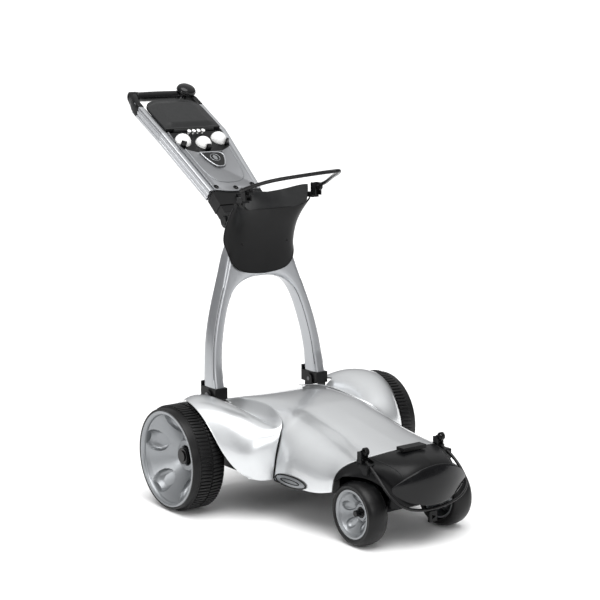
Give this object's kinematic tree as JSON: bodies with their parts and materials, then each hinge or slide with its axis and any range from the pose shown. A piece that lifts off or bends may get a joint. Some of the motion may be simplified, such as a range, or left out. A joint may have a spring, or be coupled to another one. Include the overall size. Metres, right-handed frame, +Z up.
{
  "type": "electric golf trolley",
  "caption": "Electric golf trolley: folding wishbone frame on a hooded two-motor chassis, with spoked drive wheels, bag cradle, retaining loops and a handle with ball tray and speed knob.",
  "frame": {"origin": "on the ground, in the middle of the overall footprint", "axes": "+Z up, -Y the way the trolley drives, +X its left side"},
  "size_m": [0.666, 1.1384, 0.9653],
  "materials": {
    "silver_body": "silver metallic lacquer, glossy",
    "silver_frame": "silver metallic lacquer",
    "silver_rail": "satin anodised",
    "silver_rim": "satin silver paint",
    "black_gloss": "high gloss",
    "black_moulding": "fine grained",
    "charcoal_moulding": "fine grained",
    "tyre_rubber": "matt tread",
    "soft_rubber": "satin",
    "steel": "turned",
    "white_gloss": "gloss"
  },
  "bodies": {
    "chassis": {"chassis_tub": "black_moulding", "fender_left": "silver_body", "fender_right": "silver_body", "nose_cowl": "black_moulding", "nose_plate": "black_gloss", "hinge_brackets": "black_moulding", "fold_pins": "steel", "battery": "charcoal_moulding", "controller": "charcoal_moulding", "drive_motors": "steel", "gearboxes": "black_moulding", "axle_bearings": "steel", "front_axle": "steel", "front_carrier": "black_moulding", "lower_locks": "black_moulding", "lower_bungee": "soft_rubber", "lower_hook": "black_moulding"},
    "hood": {"body_cover": "silver_body", "side_badges": "black_gloss"},
    "latch": {"cover_latch": "black_moulding"},
    "lower_lever_left": {"lower_cam_left": "black_moulding"},
    "lower_lever_right": {"lower_cam_right": "black_moulding"},
    "frame": {"wishbone_frame": "silver_frame", "leg_sockets": "black_moulding", "frame_head": "black_moulding", "cradle_shield": "black_moulding", "cradle_saddle": "charcoal_moulding", "upper_locks": "black_moulding"},
    "upper_lever_left": {"upper_cam_left": "black_moulding"},
    "upper_lever_right": {"upper_cam_right": "black_moulding"},
    "strap": {"upper_loop": "soft_rubber"},
    "handle": {"handle_neck": "black_moulding", "handle_pin": "steel", "handle_rails": "silver_rail", "control_panel": "silver_frame", "handle_back": "black_moulding", "ball_tray": "black_moulding", "golf_balls": "white_gloss", "golf_tees": "white_gloss", "grip_bar": "steel", "grip_sleeve": "soft_rubber", "grip_brackets": "black_moulding", "panel_badge": "black_gloss"},
    "lid": {"scorecard_lid": "charcoal_moulding"},
    "knob": {"speed_knob": "black_moulding"},
    "fold_lever": {"handle_lock": "black_moulding"},
    "rear_wheel_left": {"rear_tyre_left": "tyre_rubber", "rear_rim_left": "silver_rim", "axle_left": "steel"},
    "hub_release_left": {"hub_button_left": "black_gloss"},
    "front_wheel_left": {"front_tyre_left": "tyre_rubber", "front_rim_left": "silver_rim", "front_cap_left": "black_gloss"},
    "rear_wheel_right": {"rear_tyre_right": "tyre_rubber", "rear_rim_right": "silver_rim", "axle_right": "steel"},
    "hub_release_right": {"hub_button_right": "black_gloss"},
    "front_wheel_right": {"front_tyre_right": "tyre_rubber", "front_rim_right": "silver_rim", "front_cap_right": "black_gloss"}
  },
  "joints": [
    {"name": "hood_hinge", "type": "hinge", "parent": "chassis", "child": "hood", "pos_m": [0, 0.0758, 0.224], "axis": [1, 0, 0], "range_deg": [-40, 0]},
    {"name": "latch_slide", "type": "slide", "parent": "chassis", "child": "latch", "axis": [0, -1, 0], "range_m": [0, 0.006], "stiffness_N_per_m": 300},
    {"name": "frame_fold", "type": "hinge", "parent": "chassis", "child": "frame", "pos_m": [0, 0.0758, 0.243], "axis": [1, 0, 0], "range_deg": [0, 65]},
    {"name": "strap_swing", "type": "hinge", "parent": "frame", "child": "strap", "pos_m": [0, 0.0088, 0.738], "axis": [1, 0, 0], "range_deg": [-70, 0]},
    {"name": "handle_fold", "type": "hinge", "parent": "frame", "child": "handle", "pos_m": [0, 0.1458, 0.652], "axis": [1, 0, 0], "range_deg": [-100, 0]},
    {"name": "lid_hinge", "type": "hinge", "parent": "handle", "child": "lid", "pos_m": [0, 0.39153, 0.85303], "axis": [1, 0, 0], "range_deg": [0, 100]},
    {"name": "knob_turn", "type": "hinge", "parent": "handle", "child": "knob", "pos_m": [0.076, 0.54289, 0.94094], "axis": [0, -0.4848, 0.8746], "range_deg": [-135, 135]},
    {"name": "fold_lever_lift", "type": "hinge", "parent": "handle", "child": "fold_lever", "pos_m": [0, 0.18006, 0.70685], "axis": [1, 0, 0], "range_deg": [-35, 0], "stiffness_Nm_per_rad": 0.05},
    {"name": "rear_wheel_left_spin", "type": "hinge", "parent": "chassis", "child": "rear_wheel_left", "pos_m": [0.29, 0.0138, 0.125], "axis": [1, 0, 0], "continuous": true},
    {"name": "hub_release_left_press", "type": "slide", "parent": "rear_wheel_left", "child": "hub_release_left", "axis": [-1, 0, 0], "range_m": [0, 0.004], "stiffness_N_per_m": 500},
    {"name": "front_wheel_left_spin", "type": "hinge", "parent": "chassis", "child": "front_wheel_left", "pos_m": [0.1235, -0.4492, 0.073], "axis": [1, 0, 0], "continuous": true},
    {"name": "lower_lever_left_turn", "type": "hinge", "parent": "chassis", "child": "lower_lever_left", "pos_m": [0.11, -0.4412, 0.202], "axis": [1, 0, 0], "range_deg": [0, 40]},
    {"name": "upper_lever_left_turn", "type": "hinge", "parent": "frame", "child": "upper_lever_left", "pos_m": [0.103, 0.0088, 0.738], "axis": [1, 0, 0], "range_deg": [-45, 0]},
    {"name": "rear_wheel_right_spin", "type": "hinge", "parent": "chassis", "child": "rear_wheel_right", "pos_m": [-0.29, 0.0138, 0.125], "axis": [1, 0, 0], "continuous": true},
    {"name": "hub_release_right_press", "type": "slide", "parent": "rear_wheel_right", "child": "hub_release_right", "axis": [1, 0, 0], "range_m": [0, 0.004], "stiffness_N_per_m": 500},
    {"name": "front_wheel_right_spin", "type": "hinge", "parent": "chassis", "child": "front_wheel_right", "pos_m": [-0.1235, -0.4492, 0.073], "axis": [1, 0, 0], "continuous": true},
    {"name": "lower_lever_right_turn", "type": "hinge", "parent": "chassis", "child": "lower_lever_right", "pos_m": [-0.11, -0.4412, 0.202], "axis": [1, 0, 0], "range_deg": [0, 40]},
    {"name": "upper_lever_right_turn", "type": "hinge", "parent": "frame", "child": "upper_lever_right", "pos_m": [-0.103, 0.0088, 0.738], "axis": [1, 0, 0], "range_deg": [-45, 0]}
  ]
}
